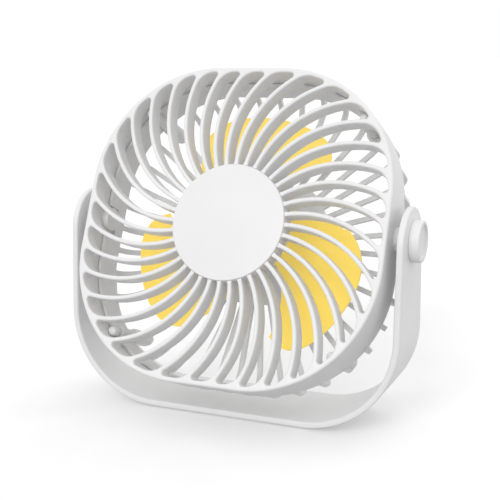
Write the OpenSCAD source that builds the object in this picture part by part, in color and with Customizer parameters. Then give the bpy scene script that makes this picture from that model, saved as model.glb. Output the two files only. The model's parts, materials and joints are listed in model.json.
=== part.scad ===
/* [Head] */
// Width of the rounded-square head
head_w = 147; // [140:1:150]
// Height of the rounded-square head
head_h = 148; // [140:1:150]
// Radius of the head's outer corners
head_corner_r = 58; // [50:1:62]
// Distance from the tilt axis forward to the rim of the front cover
front_reach = 16.4; // [16:0.2:18]
// Distance from the tilt axis back to the rear face of the head
rear_reach = 29; // [28:0.5:30]
// Distance of the head's middle below the tilt axis
head_drop = 1; // [0:0.5:2]
// Angle that the head leans back in its rest position
lean = 23; // [0:1:40]
// Wall thickness of the front cover
wall = 2.2; // [2:0.1:2.4]

/* [Grilles] */
// Number of swirling ribs in the front grille
rib_count = 36; // [30:1:40]
// Width of a front rib
rib_w = 2.1; // [1.8:0.1:2.6]
// Depth of a front rib
rib_depth = 8; // [6:0.5:9]
// Number of straight bars in the rear grille
bar_count = 40; // [36:1:44]
// Width of a bar
bar_w = 2.4; // [1.8:0.1:2.8]
// Turn of the first bar from pointing right, anticlockwise
bar_turn = -0.6; // [-4:0.1:4]
// Radius of the arc that a rib follows
rib_bend_r = 49.5; // [48:0.5:56]
// Turn of the first rib from straight up, clockwise
rib_turn = -1.2; // [-5:0.1:5]
// Radius of the flat disc in the middle of the front grille
disc_r = 27; // [26:0.5:29]

/* [Impeller] */
// Number of blades
blade_count = 3; // [2:1:4]
// Radius of the blade tips
blade_tip_r = 59.3; // [56:0.1:60]
// Thickness of a blade
blade_t = 1.3; // [1:0.1:1.6]
// Outer radius of the impeller's hub
hub_r = 16.6; // [16.4:0.1:18]

/* [Stand] */
// Width of the U-shaped bracket, without the pivot caps
stand_w = 162; // [160:1:166]
// Height of the tilt axis above the surface
pivot_z = 85.4; // [84:0.2:90]
// Depth of an arm at its top
arm_depth = 35; // [30:1:38]
// Depth of the base
base_depth = 42; // [40:1:48]
// Thickness of the bracket's band
band_t = 3; // [2.6:0.1:3.4]
// Outer radius of the bracket's two bends
bend_r = 43.7; // [40:0.5:50]
// Height of an arm above the tilt axis
arm_top = 15; // [12:0.5:18]
// Radius of a pivot cap
cap_r = 9.3; // [9:0.1:10]
// Thickness of a pivot cap
cap_t = 4.6; // [4.4:0.1:5.5]

/* [Motor and pod] */
// Outer radius of the motor's can
can_r = 11.9; // [11.5:0.1:12]
// Length of the motor's can
can_len = 15; // [14.5:0.5:15]
// Radius of the motor's shaft
shaft_r = 1; // [0.75:0.25:1.25]
// Width of the rear pod that holds the motor and the board
pod_w = 56; // [55:1:60]
// Distance that the pod stands behind the rear grille
pod_rise = 11; // [11:0.5:13]
// Radius of the speed button
button_r = 5; // [4:0.5:5.5]

/* [Hidden] */

$fn = 64;
EPS = 0.01;

WHITE = [0.94, 0.94, 0.94];
YELLOW = [0.98, 0.82, 0.28];
STEEL = [0.72, 0.73, 0.75];
BRASS = [0.80, 0.66, 0.36];
COPPER = [0.72, 0.42, 0.22];
BLACK = [0.12, 0.12, 0.13];
GREEN = [0.12, 0.40, 0.22];

// Depths in the head run along its own axis, from the tilt axis towards the front
pitch = 360 / rib_count;
rib_start_r = 27;
rib_arc = 72;
rib_arc_step = 6;

// Front cover and the disc on its hub
wall_back = -6;
dome = 1.1;
disc_front = front_reach + dome;
disc_t = 1.6;
disc_back = disc_front - disc_t;
hub_plate_t = 2.2;
hub_plate_r = disc_r - 1;
hub_rim_t = 2.4;
ribs_back = front_reach - rib_depth;

// Rear cover: its rim nests inside the front cover, and its middle stands out behind it
nest_inset = wall + 0.2;
step_inset = 1.5;
inner_inset = 3.6;
rim_front = 1.8;
step_front = wall_back - 0.2;
side_back = -14;
fin_front = -8;
bar_start = 20;
rear_t = 2.4;
rear_edge_r = 13;
rear_face = -rear_reach;
rear_inside = rear_face + rear_t;
notch_half = 6.4;

// Screws that hold the two covers together, one in each corner
post_reach = 76;
post_r = 2.3;
rear_post_r = 2.5;
rear_post_in = 0.7;
well_r = 3.6;
well_inset = 0.3;
well_in = 1;
post_gap = 0.1;
post_front = 2.2;
boss_front = ribs_back;
cover_screw_r = 1.2;
cover_head_r = 2.2;
cover_head_t = 1.6;
cover_seat = -16;
cover_screw_tip = 6;
screw_play = 0.15;
head_play = 0.2;

// Pod behind the rear cover
pod_corner_r = 13;
pod_wall = 1.8;
pod_lip = 1.5;
pod_step = 1.2;
pod_back = rear_face - pod_rise;
pod_inside = pod_back + pod_wall;
pod_screw_reach = 28;
pod_boss_r = 2.6;
pod_boss_rise = 1;
pod_screw_r = 0.95;
pod_head_r = 1.9;
pod_head_t = 1.2;

// Motor, between the cup of the rear cover and the pod
cup_in_r = can_r + 0.15;
cup_out_r = cup_in_r + 1.5;
cup_plate_t = 1.3;
motor_front = -13.2;
motor_back = motor_front - can_len;
cup_front = motor_front + cup_plate_t;
can_wall = 0.7;
end_cap_t = 1.5;
bearing_r = 2.4;
bearing_bore_r = shaft_r + 0.03;
bearing_len = 2.2;
bearing_out = 0.9;
shaft_front = -4.6;
shaft_back = motor_back + 0.3;
magnet_t = 2;
magnet_half_angle = 70;
armature_r = 8.5;
core_front = -17.6;
core_len = 5.2;
coil_t = 0.9;
yoke_r = 4;
pole_w = 3;
foot_w = 12;
foot_t = 1.8;
commutator_r = 2.6;
commutator_back = -26.2;
commutator_len = 2.6;
motor_screw_x = 8;
motor_screw_tip = -15;
terminal_x = 7;
terminal_v = 3;
terminal_w = 2.4;
terminal_t = 0.5;
terminal_rise = 1.4;
terminal_play = 0.05;
lead_r = 0.6;
rear_bearing_len = 1.5;
rear_bearing_in = 0.2;

// Control board, its switch and the speed button
board_w = 31;
board_low = -24.2;
board_high = -13.2;
board_t = 1.2;
board_gap = 3.7;
board_back = pod_inside + board_gap;
usb_w = 8.94;
usb_t = 3.26;
usb_len = 7.3;
usb_mouth = -27.2;
usb_wall = 0.3;
usb_middle = board_back + board_t + usb_t / 2;
button_v = -18.6;
button_out = 0.8;
button_flange = 1.2;
button_flange_t = 0.8;
flange_back = pod_inside + 0.1;
flange_front = flange_back + button_flange_t;
switch_side = 6;
switch_t = 1.9;
plunger_r = 1.7;
switch_bore_r = plunger_r + 0.15;
switch_bore_depth = 1.5;
plunger_inset = 0.7;

// Impeller
hub_front = -3.2;
hub_back = -18.6;
hub_wall = 1.5;
hub_top_t = 2;
hub_boss_r = 4;
hub_boss_back = -10.5;
insert_r = 2.2;
blade_front = -5;
blade_back = -17.6;
blade_camber = 1.2;
blade_rows = 9;
blade_cols = 16;
trail_angle = -36;
lead_angle = 42;
blade_sweep = 1;
sweep_end_r = 48;
blade_root_r = hub_r - 0.9;
trail_drop = 9.3;
trail_share = 0.35;
trail_power = 2.4;
lead_drop = 11;
lead_share = 0.3;
lead_power = 3.5;

// Stand and pivots
pad_t = 0.8;
pad_w = 96;
pad_d = 30;
pad_corner_r = 6;
arm_in = stand_w / 2 - band_t;
sleeve_r = 4;
sleeve_bore_r = 1.6;
pivot_play = 0.05;
sleeve_out = 0.3;
boss_r = 5.6;
boss_inside = 3;
ring_t = 0.7;
ring_gap = 0.1;
boss_end = arm_in - ring_gap - ring_t;
boss_root = head_w / 2 - wall - boss_inside;
cap_rim_w = 1.4;
cap_edge = 0.6;
cap_floor_t = 1.2;
cap_hollow_r = 7.4;
washer_r = 6;
washer_t = 0.6;
pivot_screw_r = 1.4;
pivot_screw_len = 12;
pivot_head_r = 2.8;
pivot_head_t = 1.6;
slot_w = 0.7;
slot_depth = 0.8;

// ---- Shared shapes ----

// Outline of a bar along the arc of a rib, from inside the hub outwards
function rib_points(w) = concat(
    [[-w / 2, rib_start_r - hub_rim_t - 1]],
    [for (t = [0:rib_arc_step:rib_arc]) arc_point(t, w / 2)],
    [for (t = [rib_arc:-rib_arc_step:0]) arc_point(t, -w / 2)],
    [[w / 2, rib_start_r - hub_rim_t - 1]]);

function arc_point(t, off) =
    [rib_bend_r - (rib_bend_r + off) * cos(t), rib_start_r + (rib_bend_r + off) * sin(t)];

// Places things in the head: X to the right, Y up along the face, Z out of the front
module in_head(z = 0) {
    translate([0, 0, pivot_z]) rotate([90 - lean, 0, 0]) translate([0, 0, z]) children();
}

// The same, round the middle of the grilles, which is the axis of the impeller
module in_grille(z = 0) {
    in_head() translate([0, -head_drop, z]) children();
}

// Places things on the tilt axis, with Z pointing away from the head
module on_pivot(side, from) {
    translate([side * from, 0, pivot_z]) rotate([0, side * 90, 0]) children();
}

module on_corners(reach) {
    for (a = [45:90:315]) {
        rotate(a) translate([reach, 0, 0]) children();
    }
}

module rounded_rect(w, h, r) {
    square([w - 2 * r, h], center = true);
    square([w, h - 2 * r], center = true);
    for (x = [-1, 1], y = [-1, 1]) {
        translate([x * (w / 2 - r), y * (h / 2 - r)]) circle(r);
    }
}

module head_outline(inset) {
    rounded_rect(head_w - 2 * inset, head_h - 2 * inset, head_corner_r - inset);
}

module head_slab(inset, back, front) {
    translate([0, 0, back]) linear_extrude(front - back) head_outline(inset);
}

module head_ring(outer_inset, inner_inset, back, front) {
    translate([0, 0, back]) linear_extrude(front - back) difference() {
        head_outline(outer_inset);
        head_outline(inner_inset);
    }
}

module pod_slab(inset, back, front) {
    side = pod_w - 2 * inset;
    translate([0, 0, back]) linear_extrude(front - back) rounded_rect(side, side, pod_corner_r - inset);
}

module disc(r, back, front) {
    translate([0, 0, back]) cylinder(r = r, h = front - back);
}

module tube(r_out, r_in, back, front) {
    difference() {
        disc(r_out, back, front);
        disc(r_in, back - 1, front + 1);
    }
}

// Ribs that swirl outwards, clockwise seen from the front, inside an outline
module rib_swirl(w) {
    for (k = [0:rib_count - 1]) {
        rotate(-k * pitch - rib_turn) polygon(rib_points(w));
    }
}

// ---- Stand ----

// Front view of the bracket: a flat base, two bends and straight arms
module stand_front(inset) {
    half = stand_w / 2 - inset;
    r = bend_r - inset;
    low = pad_t + inset;
    top = pivot_z + 2 * arm_top;
    translate([-half, low + r]) square([2 * half, top - low - r]);
    translate([r - half, low]) square([2 * (half - r), 2 * r]);
    for (side = [-1, 1]) {
        translate([side * (half - r), low + r]) circle(r);
    }
}

// Side view of the bracket: it narrows from the base to the round tops of the arms
module stand_side() {
    round_z = pivot_z + arm_top - arm_depth / 2;
    polygon([[-base_depth / 2, pad_t], [base_depth / 2, pad_t],
        [arm_depth / 2, round_z], [-arm_depth / 2, round_z]]);
    translate([0, round_z]) circle(arm_depth / 2);
}

module stand_bracket() {
    color(WHITE) difference() {
        intersection() {
            translate([0, base_depth, 0]) rotate([90, 0, 0]) linear_extrude(2 * base_depth) difference() {
                stand_front(0);
                stand_front(band_t);
            }
            translate([-stand_w, 0, 0]) rotate([90, 0, 90]) linear_extrude(2 * stand_w) stand_side();
        }
        for (side = [-1, 1]) {
            on_pivot(side, arm_in - 1) cylinder(r = sleeve_r + pivot_play, h = band_t + 2);
        }
    }
}

module foot_pad() {
    color(BLACK) linear_extrude(pad_t) rounded_rect(pad_w, pad_d, pad_corner_r);
}

// Hollow cap with a raised rim round a shallow dish
module pivot_cap(side) {
    dish_r = cap_r - cap_edge - cap_rim_w;
    color(WHITE) on_pivot(side, stand_w / 2) rotate_extrude() polygon([
        [cap_hollow_r, 0], [cap_r, 0], [cap_r, cap_t - cap_edge],
        [cap_r - cap_edge, cap_t], [dish_r + cap_edge, cap_t], [dish_r, cap_t - cap_edge],
        [0, cap_t - cap_edge], [0, cap_t - cap_floor_t - cap_edge],
        [cap_hollow_r, cap_t - cap_floor_t - cap_edge]]);
}

// ---- Pivot hardware, which turns with the head ----

module pivot_sleeves() {
    color(WHITE) for (side = [-1, 1]) {
        on_pivot(side, 0) tube(sleeve_r, sleeve_bore_r, boss_end, stand_w / 2 + sleeve_out);
    }
}

module friction_rings() {
    color(BLACK) for (side = [-1, 1]) {
        on_pivot(side, 0) tube(boss_r, sleeve_r + EPS, boss_end, boss_end + ring_t);
    }
}

module pivot_washers() {
    color(STEEL) for (side = [-1, 1]) {
        on_pivot(side, stand_w / 2 + sleeve_out) tube(washer_r, sleeve_bore_r, 0, washer_t);
    }
}

module cross_slot(r, top) {
    for (a = [0, 90]) {
        rotate(a) translate([-r, -slot_w / 2, top - slot_depth]) cube([2 * r, slot_w, slot_depth + 1]);
    }
}

// Screw with its head's seat at zero, its tip below and its cross slot on top
module screw(r, len, head_r, head_t) {
    difference() {
        union() {
            disc(r, -len, EPS);
            disc(head_r, 0, head_t);
        }
        cross_slot(head_r * 0.6, head_t);
    }
}

module pivot_screws() {
    color(STEEL) for (side = [-1, 1]) {
        on_pivot(side, stand_w / 2 + sleeve_out + washer_t)
            screw(pivot_screw_r, pivot_screw_len, pivot_head_r, pivot_head_t);
    }
}

// ---- Front of the head ----

module front_grille() {
    translate([0, 0, ribs_back]) linear_extrude(rib_depth) intersection() {
        rib_swirl(rib_w);
        head_outline(wall / 2);
    }
    disc(hub_plate_r, disc_back - hub_plate_t, disc_back);
    tube(hub_plate_r, hub_plate_r - hub_rim_t, ribs_back, disc_back);
}

module front_cover() {
    color(WHITE) difference() {
        union() {
            in_grille() {
                head_ring(0, wall, wall_back, front_reach);
                front_grille();
                on_corners(post_reach) disc(post_r, post_front, boss_front);
            }
            for (side = [-1, 1]) {
                on_pivot(side, 0) disc(boss_r, boss_root, boss_end);
            }
        }
        in_grille() {
            disc(disc_r + EPS, disc_back, disc_front);
            on_corners(post_reach) disc(cover_screw_r + EPS, 0, cover_screw_tip + 0.6);
        }
        for (side = [-1, 1]) {
            on_pivot(side, 0) disc(pivot_screw_r + EPS, boss_root - 1, boss_end + 1);
        }
    }
}

module centre_disc() {
    edge = 0.5;
    color(WHITE) in_grille(disc_back) rotate_extrude() polygon([
        [0, 0], [disc_r, 0], [disc_r, disc_t - edge], [disc_r - edge, disc_t], [0, disc_t]]);
}

// ---- Rear of the head ----

// Everything inside the rounded edge of the rear cover, less a thickness
module rear_round(t) {
    r = rear_edge_r - t;
    hull() {
        for (a = [0:18:90]) {
            head_slab(rear_edge_r - r * cos(a), rear_face + rear_edge_r - r * sin(a), 0);
        }
    }
}

// Straight bars, fanned out from the middle
module bar_fan() {
    translate([0, 0, rear_face]) linear_extrude(fin_front - rear_face) {
        for (k = [0:bar_count - 1]) {
            rotate(k * 360 / bar_count + bar_turn) translate([bar_start, -bar_w / 2])
                square([head_w / 2, bar_w]);
        }
    }
}

// The bars bend forward over the rounded edge
module rear_bars() {
    difference() {
        intersection() {
            bar_fan();
            rear_round(0, $fn = 48);
        }
        rear_round(rear_t, $fn = 48);
    }
}

// Wells for the heads of the cover screws, trimmed a little below the bars' rounded edge
module screw_wells() {
    intersection() {
        on_corners(post_reach - rear_post_in) disc(well_r, rear_face, side_back + well_in);
        rear_round(well_inset, $fn = 48);
    }
}

// Bores of the cup that the motor is pushed into from behind and screwed to from the front
module motor_cup_cuts() {
    disc(cup_in_r, rear_face - 1, motor_front);
    disc(bearing_r + 0.3, motor_front - 1, cup_front + 1);
    for (side = [-1, 1]) {
        translate([side * motor_screw_x, 0, 0])
            disc(pod_screw_r + screw_play, motor_front - 1, cup_front + 1);
    }
}

module rear_cover() {
    color(WHITE) difference() {
        in_grille() {
            head_ring(nest_inset, inner_inset, step_front - 1, rim_front);
            head_ring(step_inset, inner_inset, side_back, step_front);
            rear_bars();
            pod_slab(-pod_lip, rear_face, rear_inside);
            disc(cup_out_r, rear_face, cup_front);
            screw_wells();
            on_corners(post_reach - rear_post_in)
                disc(rear_post_r, side_back + well_in / 2, post_front - post_gap);
            on_corners(pod_screw_reach) disc(pod_boss_r, rear_face, rear_inside + pod_boss_rise);
        }
        in_grille() {
            motor_cup_cuts();
            on_corners(post_reach) {
                disc(cover_screw_r + screw_play, rear_face, post_front + 1);
                disc(cover_head_r + head_play, rear_face, cover_seat);
            }
            on_corners(pod_screw_reach) disc(pod_screw_r + EPS, rear_face - 1, rear_inside + 0.2);
        }
        for (side = [-1, 1]) {
            in_head() translate([side * head_w / 2 - 10, -notch_half, -notch_half])
                cube([20, 2 * notch_half, notch_half + rim_front + 1]);
        }
    }
}

module pod_cover() {
    plug_w = usb_w + 3.4;
    plug_t = usb_t + 3;
    color(WHITE) in_grille() difference() {
        union() {
            difference() {
                union() {
                    pod_slab(0, pod_back + pod_step, rear_face);
                    pod_slab(pod_step, pod_back, rear_face);
                }
                pod_slab(pod_wall, pod_inside, rear_face + 1);
            }
            on_corners(pod_screw_reach) disc(pod_boss_r, pod_inside - EPS, rear_face);
        }
        translate([0, button_v, 0]) disc(button_r + head_play, pod_back - 1, pod_inside + 1);
        translate([-plug_w / 2, -pod_w / 2 - 1, usb_middle - plug_t / 2])
            cube([plug_w, pod_wall + 1.4, plug_t]);
        on_corners(pod_screw_reach) {
            disc(pod_screw_r + screw_play, pod_back - 1, rear_face + 1);
            disc(pod_head_r + head_play, pod_back - 1, pod_back + pod_head_t + 1);
        }
    }
}

module cover_screws() {
    color(STEEL) in_grille() on_corners(post_reach) translate([0, 0, cover_seat]) rotate([180, 0, 0])
        screw(cover_screw_r, cover_screw_tip - cover_seat, cover_head_r, cover_head_t);
}

module pod_screws() {
    color(STEEL) in_grille() on_corners(pod_screw_reach) translate([0, 0, pod_back + pod_head_t + 1])
        rotate([180, 0, 0]) screw(pod_screw_r, pod_rise - pod_head_t + 1, pod_head_r, pod_head_t);
}

// ---- Motor, the parts that stand still ----

module motor_can() {
    color(STEEL) in_grille() difference() {
        disc(can_r, motor_back + end_cap_t, motor_front);
        disc(can_r - can_wall, motor_back, motor_front - can_wall);
        disc(bearing_r + EPS, motor_front - 2, motor_front + 1);
        for (side = [-1, 1]) {
            translate([side * motor_screw_x, 0, 0])
                disc(pod_screw_r + EPS, motor_front - 2, motor_front + 1);
        }
    }
}

// Flat blades that carry the current through the end cap, or with a margin, their slots
module terminal_slabs(margin, back, front) {
    for (side = [-1, 1]) {
        translate([side * terminal_x, terminal_v, (back + front) / 2])
            cube([terminal_w + 2 * margin, terminal_t + 2 * margin, front - back], center = true);
    }
}

module motor_end_cap() {
    color(BLACK) in_grille() difference() {
        disc(can_r, motor_back, motor_back + end_cap_t);
        disc(bearing_r + EPS, motor_back - 1, motor_back + end_cap_t + 1);
        terminal_slabs(terminal_play, motor_back - 1, motor_back + end_cap_t + 1);
    }
}

module motor_magnets() {
    r_out = can_r - can_wall - 0.05;
    color(BLACK) in_grille() for (side = [0, 180]) {
        rotate(side + 90 - magnet_half_angle) translate([0, 0, core_front - core_len - 1])
            rotate_extrude(angle = 2 * magnet_half_angle)
            translate([r_out - magnet_t, 0]) square([magnet_t, core_len + 2]);
    }
}

module front_bearing() {
    color(BRASS) in_grille(motor_front + bearing_out) tube(bearing_r, bearing_bore_r, -bearing_len, 0);
}

module rear_bearing() {
    color(BRASS) in_grille(motor_back + rear_bearing_in)
        tube(bearing_r, bearing_bore_r, 0, rear_bearing_len);
}

module motor_brushes() {
    leaf_t = 0.3;
    leaf_gap = 0.08;
    leaf_low = -0.6;
    leaf_len = 4.2;
    margin = 0.5;
    color(COPPER) in_grille() for (side = [-1, 1]) {
        translate([side * (commutator_r + leaf_gap + leaf_t / 2) - leaf_t / 2, leaf_low,
            commutator_back + margin])
            cube([leaf_t, leaf_len, commutator_len - 2 * margin]);
    }
}

module motor_terminals() {
    inside = 0.6;
    color(BRASS) in_grille()
        terminal_slabs(0, motor_back - terminal_rise, motor_back + end_cap_t + inside);
}

module motor_screws() {
    color(STEEL) in_grille(cup_front) for (side = [-1, 1]) {
        translate([side * motor_screw_x, 0, 0])
            screw(pod_screw_r, cup_front - motor_screw_tip, pod_head_r, pod_head_t);
    }
}

// Straight piece of wire between two points, with enough spare length for its bends to meet
module wire_piece(a, b) {
    d = b - a;
    len = norm(d);
    translate(a) rotate([0, acos(d.z / len), atan2(d.y, d.x)])
        translate([0, 0, -lead_r / 2]) cylinder(r = lead_r, h = len + lead_r);
}

module motor_leads() {
    solder_v = terminal_v - terminal_t / 2 - terminal_play - lead_r;
    pad_x = 9.5;
    over_board = 2;
    on_board = 1.8;
    color(BLACK) in_grille() for (side = [-1, 1]) {
        solder = [side * terminal_x, solder_v, motor_back - terminal_rise / 2];
        bend = [side * pad_x, board_high + over_board, board_back - lead_r];
        pad = [side * pad_x, board_high - on_board, board_back - lead_r];
        wire_piece(solder, bend);
        wire_piece(bend, pad);
    }
}

// ---- Control board ----

module control_board() {
    color(GREEN) in_grille() translate([-board_w / 2, board_low, board_back])
        cube([board_w, board_high - board_low, board_t]);
}

// Socket shell with its tongue; the mouth faces down along the head
module usb_socket() {
    r = usb_t / 2;
    tongue_w = 6.6;
    tongue_t = 0.7;
    tongue_in = 1;
    color(STEEL) in_grille() translate([0, usb_mouth, usb_middle]) rotate([-90, 0, 0]) {
        difference() {
            linear_extrude(usb_len) rounded_rect(usb_w, usb_t, r - EPS);
            translate([0, 0, -1]) linear_extrude(usb_len)
                rounded_rect(usb_w - 2 * usb_wall, usb_t - 2 * usb_wall, r - usb_wall - EPS);
        }
        translate([-tongue_w / 2, -tongue_t / 2, tongue_in])
            cube([tongue_w, tongue_t, usb_len - 1.5 * tongue_in]);
    }
}

module tact_switch() {
    color(BLACK) in_grille() translate([0, button_v, 0]) difference() {
        translate([-switch_side / 2, -switch_side / 2, board_back - switch_t])
            cube([switch_side, switch_side, switch_t]);
        disc(switch_bore_r, board_back - switch_t - 1, board_back - switch_t + switch_bore_depth);
    }
}

module switch_plunger() {
    color(WHITE) in_grille() translate([0, button_v, 0])
        disc(plunger_r, flange_front, board_back - switch_t + plunger_inset);
}

module push_button() {
    edge = 0.6;
    low = pod_back - button_out;
    color(WHITE) in_grille() translate([0, button_v, 0]) rotate_extrude() polygon([
        [0, low], [button_r - edge, low], [button_r, low + edge], [button_r, flange_back],
        [button_r + button_flange, flange_back], [button_r + button_flange, flange_front],
        [0, flange_front]]);
}

// ---- Rotor ----

// Edges of a blade at radius r, as angles clockwise from the blade's own direction
function trail_edge(r) = trail_angle - blade_sweep * max(0, sweep_end_r - r);
function lead_edge(r) = lead_angle - blade_sweep * max(0, sweep_end_r - r);

// Outer end of a blade across its width, from the trailing edge at 0 to the leading edge at 1
function blade_end(s) = blade_tip_r
    - trail_drop * pow(max(0, 1 - s / trail_share), trail_power)
    - lead_drop * pow(max(0, 1 - (1 - s) / lead_share), lead_power);

function blade_depth(s) = blade_front + (blade_back - blade_front) * s - blade_camber * 4 * s * (1 - s);

function blade_point(row, s, half) =
    let (r = blade_root_r + (blade_end(s) - blade_root_r) * row,
        a = trail_edge(r) + (lead_edge(r) - trail_edge(r)) * s)
    [r * sin(a), r * cos(a), blade_depth(s) + half * blade_t / 2];

// Two triangles for a quad of point numbers
function quad(a, b, c, d) = [[a, b, c], [a, c, d]];

module blade() {
    wide = blade_cols + 1;
    back = (blade_rows + 1) * wide;
    points = [for (half = [1, -1], i = [0:blade_rows], j = [0:blade_cols])
        blade_point(i / blade_rows, j / blade_cols, half)];
    faces = [
        for (i = [0:blade_rows - 1], j = [0:blade_cols - 1])
            let (p = i * wide + j)
            each concat(quad(p, p + wide, p + wide + 1, p + 1),
                quad(back + p, back + p + 1, back + p + wide + 1, back + p + wide)),
        for (j = [0:blade_cols - 1])
            let (q = blade_rows * wide + j)
            each concat(quad(j, j + 1, back + j + 1, back + j),
                quad(q + 1, q, back + q, back + q + 1)),
        for (i = [0:blade_rows - 1])
            let (p = i * wide, q = p + blade_cols)
            each concat(quad(p + wide, p, back + p, back + p + wide),
                quad(q, q + wide, back + q + wide, back + q))];
    polyhedron(points, faces);
}

module impeller() {
    color(YELLOW) in_grille() {
        difference() {
            union() {
                for (k = [0:blade_count - 1]) {
                    rotate(-k * 360 / blade_count) blade();
                }
                disc(hub_r, hub_back, hub_front);
            }
            disc(hub_r - hub_wall, hub_back - 1, hub_front - hub_top_t);
        }
        tube(hub_boss_r, insert_r + EPS, hub_boss_back, hub_front - hub_top_t + EPS);
    }
}

module hub_insert() {
    color(BRASS) in_grille() tube(insert_r, shaft_r + EPS, hub_boss_back + 0.5, shaft_front - 0.6);
}

module motor_shaft() {
    color(STEEL) in_grille() disc(shaft_r, shaft_back, shaft_front - 0.7);
}

// Three poles with arc-shaped feet on a round yoke
module armature_core() {
    color(STEEL) in_grille(core_front - core_len) difference() {
        linear_extrude(core_len) intersection() {
            circle(armature_r);
            union() {
                circle(yoke_r);
                for (a = [0:120:240]) {
                    rotate(a) translate([-pole_w / 2, 0]) square([pole_w, armature_r]);
                    rotate(a) translate([-foot_w / 2, armature_r - foot_t]) square([foot_w, foot_t]);
                }
            }
        }
        translate([0, 0, -1]) cylinder(r = shaft_r + EPS, h = core_len + 2);
    }
}

// One coil round each pole, between the yoke and the pole's foot
module armature_windings() {
    low = yoke_r + 0.1;
    high = armature_r - foot_t - 0.2;
    hole_w = pole_w + 2 * EPS;
    color(COPPER) in_grille(core_front - core_len - coil_t) for (a = [0:120:240]) {
        rotate(a) difference() {
            translate([-pole_w / 2 - coil_t, low, 0])
                cube([pole_w + 2 * coil_t, high - low, core_len + 2 * coil_t]);
            translate([-hole_w / 2, low - 1, coil_t - EPS]) cube([hole_w, high, core_len + 2 * EPS]);
        }
    }
}

module commutator() {
    color(COPPER) in_grille(commutator_back) tube(commutator_r, shaft_r + EPS, 0, commutator_len);
}

stand_bracket();
foot_pad();
pivot_cap(-1);  // pivot_cap_left
pivot_cap(1);  // pivot_cap_right
pivot_sleeves();
pivot_screws();
pivot_washers();
friction_rings();
front_cover();
centre_disc();
rear_cover();
pod_cover();
cover_screws();
pod_screws();
motor_can();
motor_end_cap();
motor_magnets();
front_bearing();
rear_bearing();
motor_brushes();
motor_terminals();
motor_screws();
motor_leads();
control_board();
usb_socket();
tact_switch();
push_button();
switch_plunger();
impeller();
hub_insert();
motor_shaft();
armature_core();
armature_windings();
commutator();
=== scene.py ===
import json
import math

import bpy
import bmesh
import numpy as np
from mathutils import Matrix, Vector
from mathutils.geometry import delaunay_2d_cdt


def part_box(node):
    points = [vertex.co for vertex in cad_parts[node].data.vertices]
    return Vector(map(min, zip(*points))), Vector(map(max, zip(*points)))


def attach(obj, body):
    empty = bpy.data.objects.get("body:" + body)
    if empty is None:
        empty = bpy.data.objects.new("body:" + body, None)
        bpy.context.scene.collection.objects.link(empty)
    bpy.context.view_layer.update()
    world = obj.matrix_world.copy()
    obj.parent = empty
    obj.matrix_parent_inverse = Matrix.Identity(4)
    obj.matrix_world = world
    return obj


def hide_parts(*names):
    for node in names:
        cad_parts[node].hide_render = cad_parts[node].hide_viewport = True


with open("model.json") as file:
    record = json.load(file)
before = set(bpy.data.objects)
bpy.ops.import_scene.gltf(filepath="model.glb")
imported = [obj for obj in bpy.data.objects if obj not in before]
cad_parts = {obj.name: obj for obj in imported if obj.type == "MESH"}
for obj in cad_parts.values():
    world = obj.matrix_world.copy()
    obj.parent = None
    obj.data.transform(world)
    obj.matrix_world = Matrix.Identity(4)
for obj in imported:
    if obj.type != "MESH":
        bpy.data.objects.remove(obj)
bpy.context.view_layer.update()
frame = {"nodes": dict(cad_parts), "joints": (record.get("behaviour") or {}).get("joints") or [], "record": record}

MM = 0.001
# Turned shells start this far from their axis, so that their middle has a face of its own
AXIS_R = 0.01
# Edges with a larger angle than this, in degrees, are shaded as sharp
SHARP_ANGLE = 35
# Points nearer to each other than this are the same point
SAME_POINT = 0.001 * MM
# How far a cut reaches past the surface that it goes through
CUT = 1.0

# ---- Places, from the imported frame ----

JOINTS = {joint["name"]: joint for joint in frame["joints"]}
PIVOT = Vector(JOINTS["head_tilt"]["pos_m"]) / MM
GRILLE = Vector(JOINTS["impeller_spin"]["pos_m"]) / MM
OUT = Vector(JOINTS["impeller_spin"]["axis"]).normalized()
SIDE = Vector((1, 0, 0))
UP = OUT.cross(SIDE)


def in_head(point):
    """Millimetres right, up and out of the grilles' middle, as metres in the frame."""
    x, y, z = point
    return (GRILLE + SIDE * x + UP * y + OUT * z) * MM


def in_frame(point):
    return Vector(point) * MM


def size_of(node):
    low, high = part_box(node)
    return (high - low) / MM


# ---- Sizes of the head, in millimetres ----

HEAD_W = 147.0
HEAD_H = 148.0
CORNER_R = 58.0
FRONT = 16.4
WALL = 2.0
WALL_BACK = -6.0
WALL_EDGE = 0.4
RIM_ROUND = 1.0
# Between these radii lies every outline of the head that a bar meets
HEAD_RADII = (40, 90)

RIB_COUNT = 36
PITCH = math.radians(360 / RIB_COUNT)
RIB_W = 2.0
RIB_BEND_R = 49.5
RIB_START_R = 27.0
RIB_TURN = math.radians(-1.2)
RIBS_BACK = 8.4
RIB_ROUND = 0.85
# The ribs' rounded edges grow from nothing over this distance from the hub
ROUND_FADE = 2.5
# Where along its arc a rib meets the rim and the hub at the latest and at the earliest
RIB_LAST = math.radians(85)
RIB_FIRST = (-0.1, 0.3)
SLOT_INSET = 2.2
SLOT_HUB_R = 27.15
WIDE_FILLET = 9.0
WIDE_STEPS = 10
TIGHT_FILLET = 1.3
TIGHT_STEPS = 7
RIM_STEPS = 6
HUB_STEPS = 3
DOME = 0.6
DOME_R = 71.0

DISC_R = 27.0
DISC_FRONT = 17.5
DISC_T = 1.6
DISC_ROUND = 0.5
DISC_PLAY = 0.12
SEAT_R = DISC_R + DISC_PLAY
SEAT_GAP = 0.02
SEAT = DISC_FRONT - DISC_T - SEAT_GAP
HUB_HOLLOW_R = 23.6
HUB_HOLLOW = 13.7

# ---- Mesh building ----

FILL_TOLERANCE = 1e-6


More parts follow.
